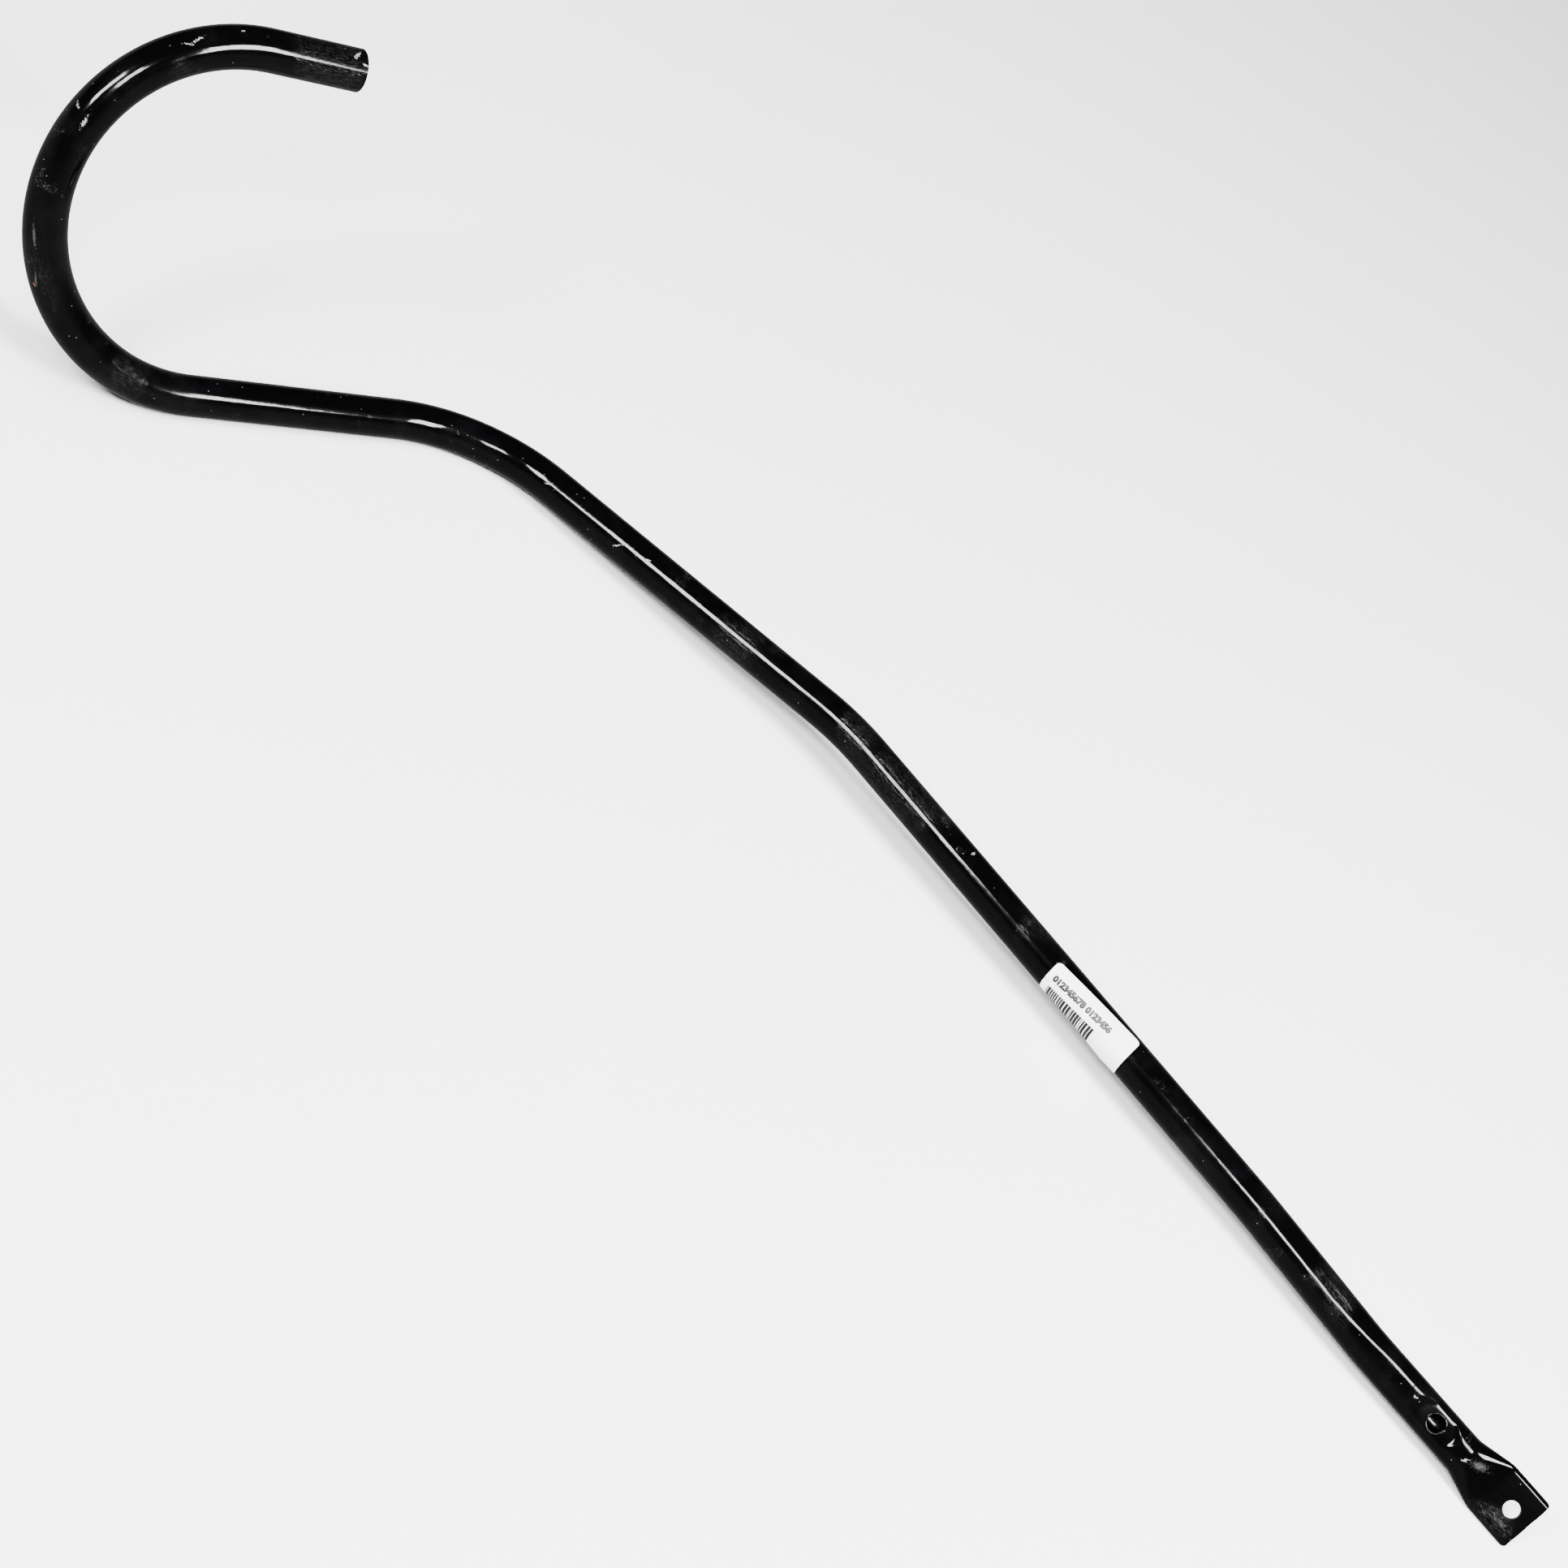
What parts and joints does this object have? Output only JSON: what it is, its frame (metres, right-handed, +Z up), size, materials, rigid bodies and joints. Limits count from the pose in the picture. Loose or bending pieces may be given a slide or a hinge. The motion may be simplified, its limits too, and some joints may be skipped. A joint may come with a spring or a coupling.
{
  "type": "bent tube handle",
  "caption": "Long bent steel tube with a round open hook at one end, a shallow crank, and a flattened bolt-on end at the other.",
  "frame": {"origin": "centre of the bolt hole in the flattened end, half-way through its thickness", "axes": "+Z up with the handle lying on a floor, +X level along the shank and out past the flattened end, hook towards -X and -Y"},
  "size_m": [1.1142, 0.3318, 0.2233],
  "materials": {
    "black_enamel": "gloss",
    "label_paper": "semi-gloss"
  },
  "bodies": {
    "root": {"handle_tube": "black_enamel", "barcode_label": "label_paper"}
  },
  "joints": []
}
